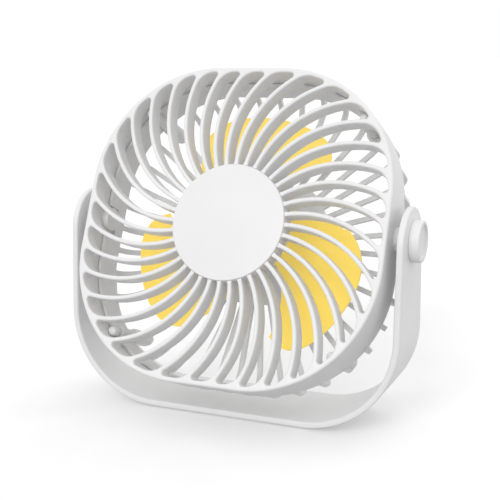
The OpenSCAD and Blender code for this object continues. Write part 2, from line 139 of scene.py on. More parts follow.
class Shell:
    """A closed surface under construction: points in local millimetres, and faces."""

    def __init__(self):
        self.points = []
        self.faces = []

    def loop(self, points):
        start = len(self.points)
        self.points += [tuple(p) for p in points]
        return list(range(start, len(self.points)))

    def band(self, a, b):
        """Quads between two closed loops with as many points."""
        for i in range(len(a)):
            j = (i + 1) % len(a)
            self.faces.append((a[i], a[j], b[j], b[i]))

    def bands(self, loops):
        for a, b in zip(loops, loops[1:]):
            self.band(a, b)

    def cap(self, loop):
        self.faces.append(tuple(loop))

    def ladder(self, ring, steps=6):
        """Quads across a loop that starts at one tip and has its other tip halfway round."""
        half = len(ring) // 2
        rows = []
        for a, b in zip(ring[1:half], ring[:half:-1]):
            p, q = Vector(self.points[a]), Vector(self.points[b])
            rows.append([a, *self.loop([p.lerp(q, j / steps) for j in range(1, steps)]), b])
        for row, after in zip(rows, rows[1:]):
            for j in range(steps):
                self.faces.append((row[j], row[j + 1], after[j + 1], after[j]))
        for tip, row in ((ring[0], rows[0]), (ring[half], rows[-1])):
            for j in range(steps):
                self.faces.append((tip, row[j], row[j + 1]))

    def fill(self, loops, inner=()):
        """Triangles in the flat area inside the first loop and outside the others.

        The inner points become corners of them too."""
        used = [i for loop in loops for i in loop] + list(inner)
        place = {point: k for k, point in enumerate(used)}
        edges = [
            (place[a], place[b]) for loop in loops for a, b in zip(loop, loop[1:] + loop[:1])
        ]
        flat = [Vector(self.points[i][:2]) for i in used]
        _, _, triangles, origin, _, _ = delaunay_2d_cdt(flat, edges, [], 0, FILL_TOLERANCE, True)
        corners = [[used[origin[v][0]] for v in t] for t in triangles]
        xy = np.array([self.points[i][:2] for i in range(len(self.points))])
        middles = xy[np.array(corners)].mean(1)
        sides = [(self.points[used[a]][:2], self.points[used[b]][:2]) for a, b in edges]
        for keep, face in zip(inside(middles, np.array(sides)), corners):
            if keep:
                self.faces.append(tuple(face))


def inside(points, sides):
    """Even-odd test of many points against many edges."""
    a, b = sides[:, 0], sides[:, 1]
    result = []
    for x, y in points:
        crosses = (a[:, 1] > y) != (b[:, 1] > y)
        at = a[crosses, 0] + (y - a[crosses, 1]) / (b[crosses, 1] - a[crosses, 1]) * (
            b[crosses, 0] - a[crosses, 0]
        )
        result.append(int((at > x).sum()) % 2 == 1)
    return result


def loop_normals(points):
    """Unit normals of a closed flat loop, pointing to the left of its direction."""
    p = np.array(points)
    along = np.roll(p, -1, 0) - np.roll(p, 1, 0)
    along /= np.linalg.norm(along, axis=1)[:, None]
    return np.stack([-along[:, 1], along[:, 0]], 1)


def area_of(points):
    p = np.array(points)
    q = np.roll(p, -1, 0)
    return float((p[:, 0] * q[:, 1] - q[:, 0] * p[:, 1]).sum()) / 2


def inwards(points):
    normals = loop_normals(points)
    return normals if area_of(points) > 0 else -normals


def quarter(radius, steps=5):
    """A rounded edge from the face to the side: distances in from the side and from the face."""
    for i in range(steps + 1):
        a = math.pi / 2 * i / steps
        yield radius * (1 - math.sin(a)), radius * (1 - math.cos(a))


def make_object(name, shell, place=in_frame):
    """A mesh object of one closed shell, smooth but for edges sharper than SHARP_ANGLE."""
    mesh = bpy.data.meshes.new(name)
    mesh.from_pydata([place(p) for p in shell.points], [], shell.faces)
    tidy_mesh(mesh)
    obj = bpy.data.objects.new(name, mesh)
    bpy.context.scene.collection.objects.link(obj)
    return obj


def tidy_mesh(mesh):
    work = bmesh.new()
    work.from_mesh(mesh)
    bmesh.ops.recalc_face_normals(work, faces=work.faces)
    work.to_mesh(mesh)
    work.free()
    mesh.shade_smooth()
    mesh.set_sharp_from_angle(angle=math.radians(SHARP_ANGLE))


def combine(obj, others, operation="UNION"):
    """Joins other solids to a solid, or cuts them out of it."""
    group = bpy.data.collections.new(obj.name + "_operands")
    for other in others:
        group.objects.link(other)
    step = obj.modifiers.new("combine", "BOOLEAN")
    step.operation = operation
    step.solver = "MANIFOLD"
    step.operand_type = "COLLECTION"
    step.collection = group
    apply_modifiers(obj)
    for other in others:
        bpy.data.objects.remove(other)
    bpy.data.collections.remove(group)
    merge_close(obj.data)
    obj.data.set_sharp_from_angle(angle=math.radians(SHARP_ANGLE))
    return obj


def merge_close(mesh):
    """Merges points less than a thousandth of a millimetre apart and splits faces of many sides."""
    work = bmesh.new()
    work.from_mesh(mesh)
    bmesh.ops.remove_doubles(work, verts=work.verts, dist=SAME_POINT)
    bmesh.ops.triangulate(work, faces=[face for face in work.faces if len(face.verts) > 4])
    work.to_mesh(mesh)
    work.free()


def apply_modifiers(obj):
    bpy.context.view_layer.update()
    graph = bpy.context.evaluated_depsgraph_get()
    mesh = bpy.data.meshes.new_from_object(obj.evaluated_get(graph), depsgraph=graph)
    obj.modifiers.clear()
    old = obj.data
    obj.data = mesh
    mesh.name = old.name
    bpy.data.meshes.remove(old)


def lathe(profile, steps=96, ring=False):
    """A shell turned about the local Z axis from (radius, height) points."""
    shell = Shell()
    rings = []
    for r, z in profile:
        turn = [2 * math.pi * i / steps for i in range(steps)]
        rings.append(shell.loop([(r * math.cos(a), r * math.sin(a), z) for a in turn]))
    if ring:
        shell.bands(rings + rings[:1])
    else:
        shell.bands(rings)
        shell.cap(rings[0])
        shell.cap(rings[-1])
    return shell


def rounded_bar(r, low, high, edge=0.3):
    """Profile of a round bar with rounded ends."""
    profile = [(r - edge + edge * math.sin(a), low + edge * (1 - math.cos(a)))
               for a in (math.pi / 2 * i / 4 for i in range(5))]
    profile += [(r - d, high - h) for d, h in reversed(list(quarter(edge, 4)))]
    return profile


# ---- Outlines in the plane of the grilles ----


def head_stations(arc_steps=40, side_steps=7):
    """Middles and directions of the points round the head's rounded square."""
    half = (HEAD_W / 2 - CORNER_R, HEAD_H / 2 - CORNER_R)
    signs = [(1, 1), (-1, 1), (-1, -1), (1, -1)]
    stations = []
    for k, (sx, sy) in enumerate(signs):
        for i in range(arc_steps + 1):
            stations.append((sx * half[0], sy * half[1], math.pi / 2 * (k + i / arc_steps)))
        nx, ny = signs[(k + 1) % 4]
        for i in range(1, side_steps):
            t = i / side_steps
            stations.append((
                half[0] * (sx + (nx - sx) * t), half[1] * (sy + (ny - sy) * t), math.pi / 2 * (k + 1)))
    return stations


def head_outline(inset):
    r = CORNER_R - inset
    return [(x + r * math.cos(a), y + r * math.sin(a)) for x, y, a in head_stations()]


def head_inset(x, y):
    """Distance in from the head's outline, and the outward direction there."""
    qx = abs(x) - (HEAD_W / 2 - CORNER_R)
    qy = abs(y) - (HEAD_H / 2 - CORNER_R)
    gx, gy = (max(qx, 0), max(qy, 0)) if max(qx, qy) > 0 else ((1, 0) if qx > qy else (0, 1))
    length = math.hypot(gx, gy)
    inset = CORNER_R - math.hypot(max(qx, 0), max(qy, 0)) - min(max(qx, qy), 0)
    return inset, (math.copysign(gx / length, x), math.copysign(gy / length, y))


def rib_point(k, t, offset):
    """A point beside rib k's middle line, at the angle t along its arc."""
    x = RIB_BEND_R - (RIB_BEND_R + offset) * math.cos(t)
    y = RIB_START_R + (RIB_BEND_R + offset) * math.sin(t)
    a = k * PITCH + RIB_TURN
    return (x * math.cos(a) + y * math.sin(a), -x * math.sin(a) + y * math.cos(a))


def bisect(function, low, high):
    """Where a function crosses zero between two values."""
    rising = function(low) < 0
    for _ in range(50):
        middle = (low + high) / 2
        if (function(middle) < 0) == rising:
            low = middle
        else:
            high = middle
    return (low + high) / 2


def arc_between(middle, start, end, steps):
    """Points on a circle, clockwise from start to end."""
    r = math.dist(middle, start)
    a = math.atan2(start[1] - middle[1], start[0] - middle[0])
    b = math.atan2(end[1] - middle[1], end[0] - middle[0])
    turn = (b - a) % (2 * math.pi) - 2 * math.pi
    return [(middle[0] + r * math.cos(a + turn * i / steps),
             middle[1] + r * math.sin(a + turn * i / steps)) for i in range(steps + 1)]


def slot_outline(k, side_steps=26):
    """The opening between rib k and the next one, with a wide and a tight fillet at the rim."""
    near, far = -RIB_W / 2, RIB_W / 2
    wide = bisect(lambda t: head_inset(*rib_point(k, t, near - WIDE_FILLET))[0]
                  - SLOT_INSET - WIDE_FILLET, 0, RIB_LAST)
    tight = bisect(lambda t: head_inset(*rib_point(k + 1, t, far + TIGHT_FILLET))[0]
                   - SLOT_INSET - TIGHT_FILLET, 0, RIB_LAST)
    a = rib_point(k, wide, near - WIDE_FILLET)
    b = rib_point(k + 1, tight, far + TIGHT_FILLET)
    start_a = bisect(lambda t: math.hypot(*rib_point(k, t, near)) - SLOT_HUB_R, *RIB_FIRST)
    start_b = bisect(lambda t: math.hypot(*rib_point(k + 1, t, far)) - SLOT_HUB_R, *RIB_FIRST)

    points = [rib_point(k, start_a + (wide - start_a) * i / side_steps, near)
              for i in range(side_steps)]
    points += arc_between(a, rib_point(k, wide, near), at_rim(a), WIDE_STEPS)
    for i in range(1, RIM_STEPS):
        t = i / RIM_STEPS
        points.append(at_rim((a[0] + (b[0] - a[0]) * t, a[1] + (b[1] - a[1]) * t)))
    points += arc_between(b, at_rim(b), rib_point(k + 1, tight, far), TIGHT_STEPS)
    points += [rib_point(k + 1, tight + (start_b - tight) * i / side_steps, far)
               for i in range(1, side_steps + 1)]
    first, final = points[0], points[-1]
    for i in range(1, HUB_STEPS):
        x = final[0] + (first[0] - final[0]) * i / HUB_STEPS
        y = final[1] + (first[1] - final[1]) * i / HUB_STEPS
        scale = SLOT_HUB_R / math.hypot(x, y)
        points.append((x * scale, y * scale))
    return points


def at_rim(point):
    """The nearest point on the line where the slots end."""
    x, y = point
    for _ in range(4):
        inset, (gx, gy) = head_inset(x, y)
        x += gx * (inset - SLOT_INSET)
        y += gy * (inset - SLOT_INSET)
    return x, y


def dome_at(x, y):
    return DOME * max(0.0, 1 - (x * x + y * y) / DOME_R**2)


# ---- Front cover ----


def circle(r, steps=96):
    return [(r * math.cos(2 * math.pi * i / steps), r * math.sin(2 * math.pi * i / steps))
            for i in range(steps)]


def at_depth(points, z):
    return [(x, y, z) for x, y in points]


def on_front(points, depth=0.0):
    """Points on the domed front of the grille, or a depth below it."""
    return [(x, y, FRONT + dome_at(x, y) - depth) for x, y in points]


def front_cover_shell():
    """The side wall, the ribs between the slots, and the hub with a seat for the disc."""
    shell = Shell()
    rim = [shell.loop(at_depth(head_outline(d), FRONT - h)) for d, h in quarter(RIM_ROUND)]
    for inset, depth in [(0, WALL_BACK + WALL_EDGE), (WALL_EDGE, WALL_BACK), (WALL - WALL_EDGE, WALL_BACK),
                         (WALL, WALL_BACK + WALL_EDGE), (WALL, RIBS_BACK)]:
        rim.append(shell.loop(at_depth(head_outline(inset), depth)))
    shell.bands(rim)

    fronts, backs = [], []
    for k in range(RIB_COUNT):
        outline = np.array(slot_outline(k))
        away = -inwards(outline)
        reach = (np.linalg.norm(outline, axis=1) - SLOT_HUB_R) / ROUND_FADE
        soft = np.clip(reach, 0, 1)[:, None]
        rings = [shell.loop(on_front(outline + away * d * soft, h)) for d, h in quarter(RIB_ROUND)]
        rings.append(shell.loop(at_depth(outline, RIBS_BACK)))
        shell.bands(rings)
        fronts.append(rings[0])
        backs.append(rings[-1])

    seat = shell.loop(on_front(circle(SEAT_R)))
    seat_floor = shell.loop(at_depth(circle(SEAT_R), SEAT))
    shell.band(seat, seat_floor)
    shell.cap(seat_floor)
    hollow = shell.loop(at_depth(circle(HUB_HOLLOW_R), RIBS_BACK))
    hollow_top = shell.loop(at_depth(circle(HUB_HOLLOW_R), HUB_HOLLOW))
    shell.band(hollow, hollow_top)
    shell.cap(hollow_top)
    shell.fill([rim[0], *fronts, seat])
    shell.fill([rim[-1], *backs, hollow])
    return shell


BOSS_R = 5.6
BOSS_OUT = 77.2
BOSS_IN = 68.3
BOSS_ROUND = 0.35


def on_pivot(side):
    """A place for turned shells on the tilt axis, pointing away from the head."""
    def place(point):
        x, y, z = point
        return (PIVOT + Vector((side * z, y, x * side))) * MM

    return place


def pivot_boss(side):
    profile = rounded_bar(BOSS_R, BOSS_IN, BOSS_OUT, BOSS_ROUND)
    return make_object("boss", lathe(profile, 64), on_pivot(side))


def front_cover():
    cover = make_object("front_grille_cover", front_cover_shell(), in_head)
    combine(cover, [pivot_boss(-1), pivot_boss(1), *front_posts()])
    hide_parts("front_cover")
    return finish_piece(cover, "head", "white_plastic")


def centre_disc():
    profile = [(AXIS_R, DISC_FRONT)]
    profile += [(DISC_R - d, DISC_FRONT - h) for d, h in quarter(DISC_ROUND)]
    profile += [(DISC_R, DISC_FRONT - DISC_T), (AXIS_R, DISC_FRONT - DISC_T)]
    disc = make_object("grille_disc", lathe(profile, 128), in_head)
    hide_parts("centre_disc")
    return finish_piece(disc, "head", "white_plastic")


# ---- Plates with rounded edges ----


def plate(outline, half, edge, place, inner=None, steps=4):
    """A closed plate from a flat outline, with rounded edges, bent into shape by place.

    Its faces are a ladder of quads, or with inner points, triangles between all of them."""
    points = np.array(outline)
    towards = inwards(points)
    shell = Shell()
    rounds = list(quarter(edge, steps))
    levels = [(d, half - h) for d, h in rounds]
    levels += [(d, h - half) for d, h in reversed(rounds)]
    rings = [shell.loop(at_depth(points + towards * d, z)) for d, z in levels]
    shell.bands(rings)
    for ring, z in ((rings[0], half), (rings[-1], -half)):
        if inner is None:
            shell.ladder(ring)
        else:
            shell.fill([ring], shell.loop(at_depth(inner, z)))
    shell.points = [place(p) for p in shell.points]
    return shell


# ---- Stand ----

STAND = size_of("stand_bracket")
STAND_W = STAND.x
BAND_T = 3.0
BASE_DEPTH = STAND.y
ARM_DEPTH = 35.0
PAD_T = size_of("foot_pad").z
BEND_R = 43.7
STAND_TOP = STAND.z + PAD_T
BAND_EDGE = 0.9
ROUND_Z = STAND_TOP - ARM_DEPTH / 2
FLAT_STEPS = 8
BEND_STEPS = 36
ARM_STEPS = 12
ROUND_STEPS = 20
PIVOT_HOLE_R = 4.05
PIVOT_HOLE_IN = 70.0
PIVOT_HOLE_OUT = 90.0


def band_lengths():
    """Half the flat base, one bend and one arm, along the middle of the band."""
    flat = STAND_W / 2 - BEND_R
    bend = math.pi / 2 * (BEND_R - BAND_T / 2)
    arm = STAND_TOP - PAD_T - BEND_R
    return flat, bend, arm


def on_band(point):
    """From the unrolled band (along it, across it, out of it) to the frame."""
    along, across, out = point
    side = math.copysign(1, along)
    flat, bend, _ = band_lengths()
    s = abs(along)
    r = BEND_R - BAND_T / 2
    low = PAD_T + BAND_T / 2
    if s < flat:
        return (side * s, across, low - out)
    if s < flat + bend:
        a = (s - flat) / r
        return (side * (flat + (r + out) * math.sin(a)), across, low + r - (r + out) * math.cos(a))
    return (side * (STAND_W / 2 - BAND_T / 2 + out), across, low + r + s - flat - bend)


def half_depth(z):
    """Half the band's depth at a height: it tapers, then rounds off round the arm's top."""
    if z > ROUND_Z:
        return math.sqrt(max(0.0, (ARM_DEPTH / 2) ** 2 - (z - ROUND_Z) ** 2))
    share = (z - PAD_T) / (ROUND_Z - PAD_T)
    return (BASE_DEPTH + (ARM_DEPTH - BASE_DEPTH) * share) / 2


def band_outline():
    """The unrolled band, from the tip of its left arm round to the tip of its right arm and back."""
    flat, bend, arm = band_lengths()
    straight_end = flat + bend + arm - ARM_DEPTH / 2
    straight = straight_end - flat - bend
    stations = [flat * i / FLAT_STEPS for i in range(FLAT_STEPS)]
    stations += [flat + bend * i / BEND_STEPS for i in range(BEND_STEPS)]
    stations += [flat + bend + straight * i / ARM_STEPS for i in range(ARM_STEPS)]
    right = [(s, half_depth(on_band((s, 0, 0))[2])) for s in stations]
    right += [(straight_end + ARM_DEPTH / 2 * math.sin(a), ARM_DEPTH / 2 * math.cos(a))
              for a in (math.pi / 2 * i / ROUND_STEPS for i in range(ROUND_STEPS))]
    front = [(-s, -y) for s, y in reversed(right[1:])] + [(s, -y) for s, y in right]
    back = [(-s, -y) for s, y in front]
    tip = straight_end + ARM_DEPTH / 2
    return [(-tip, 0.0), *front, (tip, 0.0), *back]


def pivot_hole(side):
    profile = [(PIVOT_HOLE_R, PIVOT_HOLE_IN), (PIVOT_HOLE_R, PIVOT_HOLE_OUT)]
    return make_object("hole", lathe(profile, 48), on_pivot(side))


def stand_bracket():
    shell = plate(band_outline(), BAND_T / 2, BAND_EDGE, on_band, None, 5)
    bracket = make_object("stand_band", shell)
    combine(bracket, [pivot_hole(-1), pivot_hole(1)], "DIFFERENCE")
    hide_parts("stand_bracket")
    return finish_piece(bracket, "stand", "white_plastic")


CAP_R = 9.3
CAP_T = 4.6
CAP_ROUND = 0.7
CAP_RIM = 1.2
CAP_DISH = 0.9
CAP_FACE_T = 1.8
CAP_HOLLOW_R = 7.4
CAP_FOOT_EDGE = 0.3
CAP_RIM_ROUND = 0.25
DISH_ROUND = 0.3
DISH_SLOPE = 0.1


def pivot_cap(side, node):
    """A hollow cap: rounded edge, raised rim and a shallow dish with soft corners."""
    foot = STAND_W / 2
    top = foot + CAP_T
    hollow = foot + CAP_T - CAP_FACE_T
    dish_r = CAP_R - CAP_ROUND - CAP_RIM
    bends = [math.pi / 2 * i / 4 for i in range(5)]
    profile = [(AXIS_R, hollow), (CAP_HOLLOW_R, hollow), (CAP_HOLLOW_R, foot),
               (CAP_R - CAP_FOOT_EDGE, foot), (CAP_R, foot + CAP_FOOT_EDGE)]
    profile += [(CAP_R - d, top - h) for d, h in reversed(list(quarter(CAP_ROUND, 6)))]
    profile += [(dish_r + CAP_RIM_ROUND * (1 - math.sin(a)), top - CAP_RIM_ROUND * (1 - math.cos(a)))
                for a in bends]
    profile += [(dish_r - DISH_SLOPE - DISH_ROUND * (1 - math.cos(a)),
                 top - CAP_DISH + DISH_ROUND * (1 - math.sin(a))) for a in bends]
    profile.append((AXIS_R, top - CAP_DISH))
    cap = make_object(node + "_round", lathe(profile, 96), on_pivot(side))
    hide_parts(node)
    return finish_piece(cap, "stand", "white_plastic")


# ---- Rear cover ----

REAR = -29.0
REAR_T = 2.4
REAR_INSIDE = REAR + REAR_T
REAR_EDGE_R = 13.0
BAR_SHRINK = 0.16
# The middle plate's inside stands this much proud of the bars
PLATE_STEP = 0.03
BAR_COUNT = 40
BAR_W = 2.4
BAR_TURN = math.radians(-0.6)
BAR_START = 24.0
BAR_FRONT = -8.0
BAR_EDGE = 0.3
FLAT_BAR_STEPS = 8
BAR_BEND_STEPS = 12
BAR_SIDE_STEPS = 3
# The nested ring
NEST_INSET = 2.1
RIM_FRONT = 1.8
STEP_INSET = 1.5
STEP_FRONT = -6.2
SIDE_BACK = -14.0
INNER_INSET = 3.6
RIM_EDGE = 0.35
RIM_CORNER = 0.1
NOTCH = 6.4
NOTCH_REACH = 90.0
NOTCH_FRONT = 6.0
# The middle plate and the motor's cup
POD_W = 56.0
POD_CORNER_R = 13.0
POD_LIP = 1.5
CUP_IN_R = 12.05
CUP_OUT_R = 13.55
CUP_FRONT = -11.9
CUP_FLOOR = -13.2
CUP_HOLE_R = 2.7
CUP_BACK = REAR + 1
CUP_EDGE = 0.4
# The screw posts and wells in the four corners
POST_REACH = 76.0
POST_IN = 0.7
POST_R = 2.5
POST_BACK = SIDE_BACK + 0.5
POST_FRONT = 2.1
POST_HOLE_R = 1.35
POST_HOLE_FRONT = 5.0
WELL_R = 3.6
WELL_FRONT = SIDE_BACK + 1
WELL_HOLE_R = 2.4
WELL_INSET = 0.3
WELL_SEAT = -16.0
FRONT_POST_R = 2.3
FRONT_POST_BACK = 2.2
FRONT_POST_ROUND = 1.8


def ring_shell(profile):
    """A closed ring round the head from (inset, depth) points."""
    shell = Shell()
    rings = [shell.loop(at_depth(head_outline(inset), z)) for inset, z in profile]
    shell.bands(rings + rings[:1])
    return shell


def bar_reach(angle, inset):
    """How far out along a direction the line at an inset from the head's outline is."""
    def over(r):
        return inset - head_inset(r * math.cos(angle), r * math.sin(angle))[0]

    return bisect(over, *HEAD_RADII)


def bar_shell(k):
    """A bar of the rear grille: straight across the back, then forward over the rounded edge.

    It lies a little inside the edge's radius, so it keeps within the CAD's coarser rounding."""
    angle = k * 2 * math.pi / BAR_COUNT + BAR_TURN
    outer_r = REAR_EDGE_R - BAR_SHRINK
    inner_r = REAR_EDGE_R - REAR_T
    back = REAR + BAR_SHRINK

    def bend(radius, i):
        a = math.pi / 2 * i / BAR_BEND_STEPS
        return (bar_reach(angle, REAR_EDGE_R - radius * math.sin(a)),
                REAR + REAR_EDGE_R - radius * math.cos(a))

    flat_end = bend(outer_r, 0)[0]
    flat = [BAR_START + (flat_end - BAR_START) * i / FLAT_BAR_STEPS for i in range(FLAT_BAR_STEPS)]
    bends = range(BAR_BEND_STEPS + 1)
    side = [SIDE_BACK + (BAR_FRONT - SIDE_BACK) * i / BAR_SIDE_STEPS for i in range(BAR_SIDE_STEPS + 1)]
    tip, inner = bar_reach(angle, BAR_SHRINK), bar_reach(angle, REAR_T)
    outline = [(r, back) for r in flat]
    outline += [bend(outer_r, i) for i in bends]
    outline += [(tip, z) for z in side]
    outline += [(inner, z) for z in reversed(side)]
    outline += [bend(inner_r, i) for i in reversed(bends)]
    outline += [(r, REAR_INSIDE) for r in reversed(flat)]

    def place(point):
        r, z, w = point
        return (r * math.cos(angle) - w * math.sin(angle), r * math.sin(angle) + w * math.cos(angle), z)

    return plate(outline, BAR_W / 2, BAR_EDGE, place, (), 3)


def rounded_square(half, r, steps=10):
    """Outline of a square with round corners, given half its width."""
    points = []
    for k, (sx, sy) in enumerate([(1, 1), (-1, 1), (-1, -1), (1, -1)]):
        for i in range(steps + 1):
            a = math.pi / 2 * (k + i / steps)
            points.append((sx * (half - r) + r * math.cos(a), sy * (half - r) + r * math.sin(a)))
    return points


def slab_shell(outline, low, high, edge=0.3):
    """A flat slab between two depths, with rounded edges."""
    half = (high - low) / 2
    return plate(outline, half, edge, lambda p: (p[0], p[1], p[2] + low + half), (), 3)


def corners(reach):
    """Middles of four places on the head's diagonals."""
    turns = (math.pi / 4 + k * math.pi / 2 for k in range(4))
    return [(reach * math.cos(a), reach * math.sin(a)) for a in turns]


def turned(middle, profile, steps=32):
    """A round bar along the head's axis, from (radius, depth) points."""
    x, y = middle
    return make_object("bar", lathe(profile, steps), lambda p: in_head((p[0] + x, p[1] + y, p[2])))


def round_bar(middle, r, low, high, steps=32):
    return turned(middle, [(r, low), (r, high)], steps)


def rear_round(inset):
    """The solid inside the rear's rounded edge, an inset below it."""
    r = REAR_EDGE_R - inset
    shell = Shell()
    rings = [shell.loop(at_depth(head_outline(inset), BAR_FRONT))]
    for i in range(BAR_BEND_STEPS + 1):
        a = math.pi / 2 * i / BAR_BEND_STEPS
        outline = head_outline(REAR_EDGE_R - r * math.cos(a))
        rings.append(shell.loop(at_depth(outline, REAR + REAR_EDGE_R - r * math.sin(a))))
    shell.bands(rings)
    shell.cap(rings[0])
    shell.cap(rings[-1])
    return make_object("round", shell, in_head)


def rear_posts():
    """Wells for the screws' heads, kept inside the rounded edge, and posts in front of them."""
    posts = corners(POST_REACH - POST_IN)
    wells = [round_bar(at, WELL_R, REAR, WELL_FRONT) for at in posts]
    for well in wells:
        combine(well, [rear_round(WELL_INSET)], "INTERSECT")
    return wells + [round_bar(at, POST_R, POST_BACK, POST_FRONT) for at in posts]


def rear_post_holes():
    return [round_bar(at, r, low, high) for at in corners(POST_REACH)
            for r, low, high in ((POST_HOLE_R, REAR, POST_HOLE_FRONT),
                                 (WELL_HOLE_R, REAR - CUT, WELL_SEAT))]


def front_posts():
    """The posts that the screws go into."""
    profile = rounded_bar(FRONT_POST_R, FRONT_POST_BACK, RIBS_BACK, FRONT_POST_ROUND)
    return [turned(at, profile) for at in corners(POST_REACH)]


def motor_cup():
    profile = [(CUP_HOLE_R, CUP_FLOOR), (CUP_IN_R, CUP_FLOOR), (CUP_IN_R, CUP_BACK), (CUP_OUT_R, CUP_BACK),
               (CUP_OUT_R, CUP_FRONT - CUP_EDGE), (CUP_OUT_R - CUP_EDGE, CUP_FRONT),
               (CUP_HOLE_R, CUP_FRONT)]
    return make_object("cup", lathe(profile, 64, True), in_head)


def rear_ring():
    """Section of the nested ring, as (inset, depth) points, with a step for the front cover's wall."""
    edge, corner = RIM_EDGE, RIM_CORNER
    return [(NEST_INSET + edge, RIM_FRONT), (NEST_INSET + corner, RIM_FRONT - corner),
            (NEST_INSET, RIM_FRONT - edge), (NEST_INSET, STEP_FRONT), (STEP_INSET + edge, STEP_FRONT),
            (STEP_INSET, STEP_FRONT - edge), (STEP_INSET, SIDE_BACK + edge),
            (STEP_INSET + edge, SIDE_BACK), (INNER_INSET - edge, SIDE_BACK),
            (INNER_INSET, SIDE_BACK + edge), (INNER_INSET, RIM_FRONT - edge),
            (INNER_INSET - corner, RIM_FRONT - corner), (INNER_INSET - edge, RIM_FRONT)]


def pivot_notch():
    """Room in the ring for the front cover's pivot bosses."""
    x, y = NOTCH_REACH, NOTCH
    notch = slab_shell([(-x, -y), (x, -y), (x, y), (-x, y)], -NOTCH, NOTCH_FRONT)
    height = (PIVOT - GRILLE).dot(UP)
    return make_object("notch", notch, lambda p: in_head((p[0], p[1] + height, p[2])))


def rear_cover():
    """The nested ring, the bars, the middle plate with the motor's cup, and the screw posts."""
    cover = make_object("rear_grille_cover", ring_shell(rear_ring()), in_head)
    combine(cover, [pivot_notch()], "DIFFERENCE")
    parts = [make_object("bar", bar_shell(k), in_head) for k in range(BAR_COUNT)]
    plate_half = POD_W / 2 + POD_LIP
    middle = slab_shell(rounded_square(plate_half, POD_CORNER_R + POD_LIP), REAR, REAR_INSIDE + PLATE_STEP)
    parts.append(make_object("middle", middle, in_head))
    combine(cover, [*parts, motor_cup(), *rear_posts()])
    combine(cover, rear_post_holes(), "DIFFERENCE")
    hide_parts("rear_cover")
    return finish_piece(cover, "head", "white_plastic")


# ---- Pod ----

POD_BACK = -40.0
POD_WALL = 1.8
POD_INSIDE = POD_BACK + POD_WALL
POD_ROUND = 2.0
POD_EDGE = 0.3
POD_SCREW_REACH = 28.0
POD_BOSS_R = 2.6
POD_BOSS_SUNK = 0.1
POD_SCREW_R = 1.1
POD_HEAD_R = 2.1
POD_SCREW_SEAT = -37.8
BUTTON_AT = (0.0, -18.6)
BUTTON_HOLE_R = 5.2
PLUG_W = 12.34
PLUG_LOW = -34.8
PLUG_SPARE = 0.4
PLUG_EDGE = 0.05


def pod_shell():
    """A tray with rounded edges, open towards the head."""
    half = POD_W / 2
    shell = Shell()
    profile = [(d, POD_BACK + h) for d, h in quarter(POD_ROUND, 6)]
    profile += [(0, REAR - POD_EDGE), (POD_EDGE, REAR), (POD_WALL, REAR), (POD_WALL, POD_INSIDE)]
    rings = [shell.loop(at_depth(rounded_square(half - d, POD_CORNER_R - d, 16), z))
             for d, z in profile]
    shell.bands(rings)
    shell.cap(rings[0])
    shell.cap(rings[-1])
    return shell


def plug_gap():
    """Room for a plug in the lower wall of the pod."""
    half = PLUG_W / 2
    low, high = -POD_W / 2 - CUT, -POD_W / 2 + POD_WALL + PLUG_SPARE
    outline = [(-half, low), (half, low), (half, high), (-half, high)]
    return make_object("gap", slab_shell(outline, PLUG_LOW, REAR + CUT, PLUG_EDGE), in_head)


def pod_cover():
    """The tray with screw bosses, their holes, and openings for the plug and the button."""
    pod = make_object("motor_pod", pod_shell(), in_head)
    screws = corners(POD_SCREW_REACH)
    combine(pod, [round_bar(at, POD_BOSS_R, POD_INSIDE - POD_BOSS_SUNK, REAR) for at in screws])
    holes = [round_bar(at, r, POD_BACK - CUT, high) for at in screws
             for r, high in ((POD_SCREW_R, REAR + CUT), (POD_HEAD_R, POD_SCREW_SEAT))]
    button = round_bar(BUTTON_AT, BUTTON_HOLE_R, POD_BACK - CUT, POD_INSIDE + CUT, 64)
    combine(pod, [*holes, plug_gap(), button], "DIFFERENCE")
    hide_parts("pod_cover")
    return finish_piece(pod, "head", "white_plastic")


# ---- Impeller ----

BLADE_COUNT = 3
BLADE_T = 1.3
BLADE_TIP_R = 59.3
BLADE_FRONT = -5.0
BLADE_BACK = -17.6
BLADE_CAMBER = 1.2
BLADE_EDGE = 0.5
BLADE_SUNK = 1.0
HUB_R = 16.6
HUB_FRONT = -3.2
HUB_BACK = -18.6
HUB_WALL = 1.5
HUB_ROUND = 1.2
HUB_DEPTH = 13.4
TRAIL = math.radians(-36)
LEAD = math.radians(42)
SWEEP = math.radians(1)
SWEEP_END_R = 48.0
TRAIL_DROP = 9.3
TRAIL_SHARE = 0.35
TRAIL_POWER = 2.4
LEAD_DROP = 11.0
LEAD_START = 0.7
LEAD_SHARE = 0.3
LEAD_POWER = 3.5
ROOT_STEPS = 12
EDGE_STEPS = 18
TIP_STEPS = 40
INNER_ROWS = 10
INNER_COLUMNS = 16


def blade_edges(r):
    """Angles of a blade's trailing and leading edge at a radius, clockwise from straight up."""
    sweep = SWEEP * max(0.0, SWEEP_END_R - r)
    return TRAIL - sweep, LEAD - sweep


def blade_end(s):
    """The blade's outer end across its width, from the trailing to the leading edge."""
    return (BLADE_TIP_R - TRAIL_DROP * max(0.0, 1 - s / TRAIL_SHARE) ** TRAIL_POWER
            - LEAD_DROP * max(0.0, (s - LEAD_START) / LEAD_SHARE) ** LEAD_POWER)


def blade_depth(x, y):
    """Depth of the blade's middle: it falls from the trailing to the leading edge, and is cambered."""
    r = math.hypot(x, y)
    trail, lead = blade_edges(r)
    s = (math.atan2(x, y) - trail) / (lead - trail)
    return BLADE_FRONT + (BLADE_BACK - BLADE_FRONT) * s - BLADE_CAMBER * 4 * s * (1 - s)


def blade_at(s, r):
    """A point at a share of the blade's width and a radius."""
    trail, lead = blade_edges(r)
    a = trail + (lead - trail) * s
    return (r * math.sin(a), r * math.cos(a))


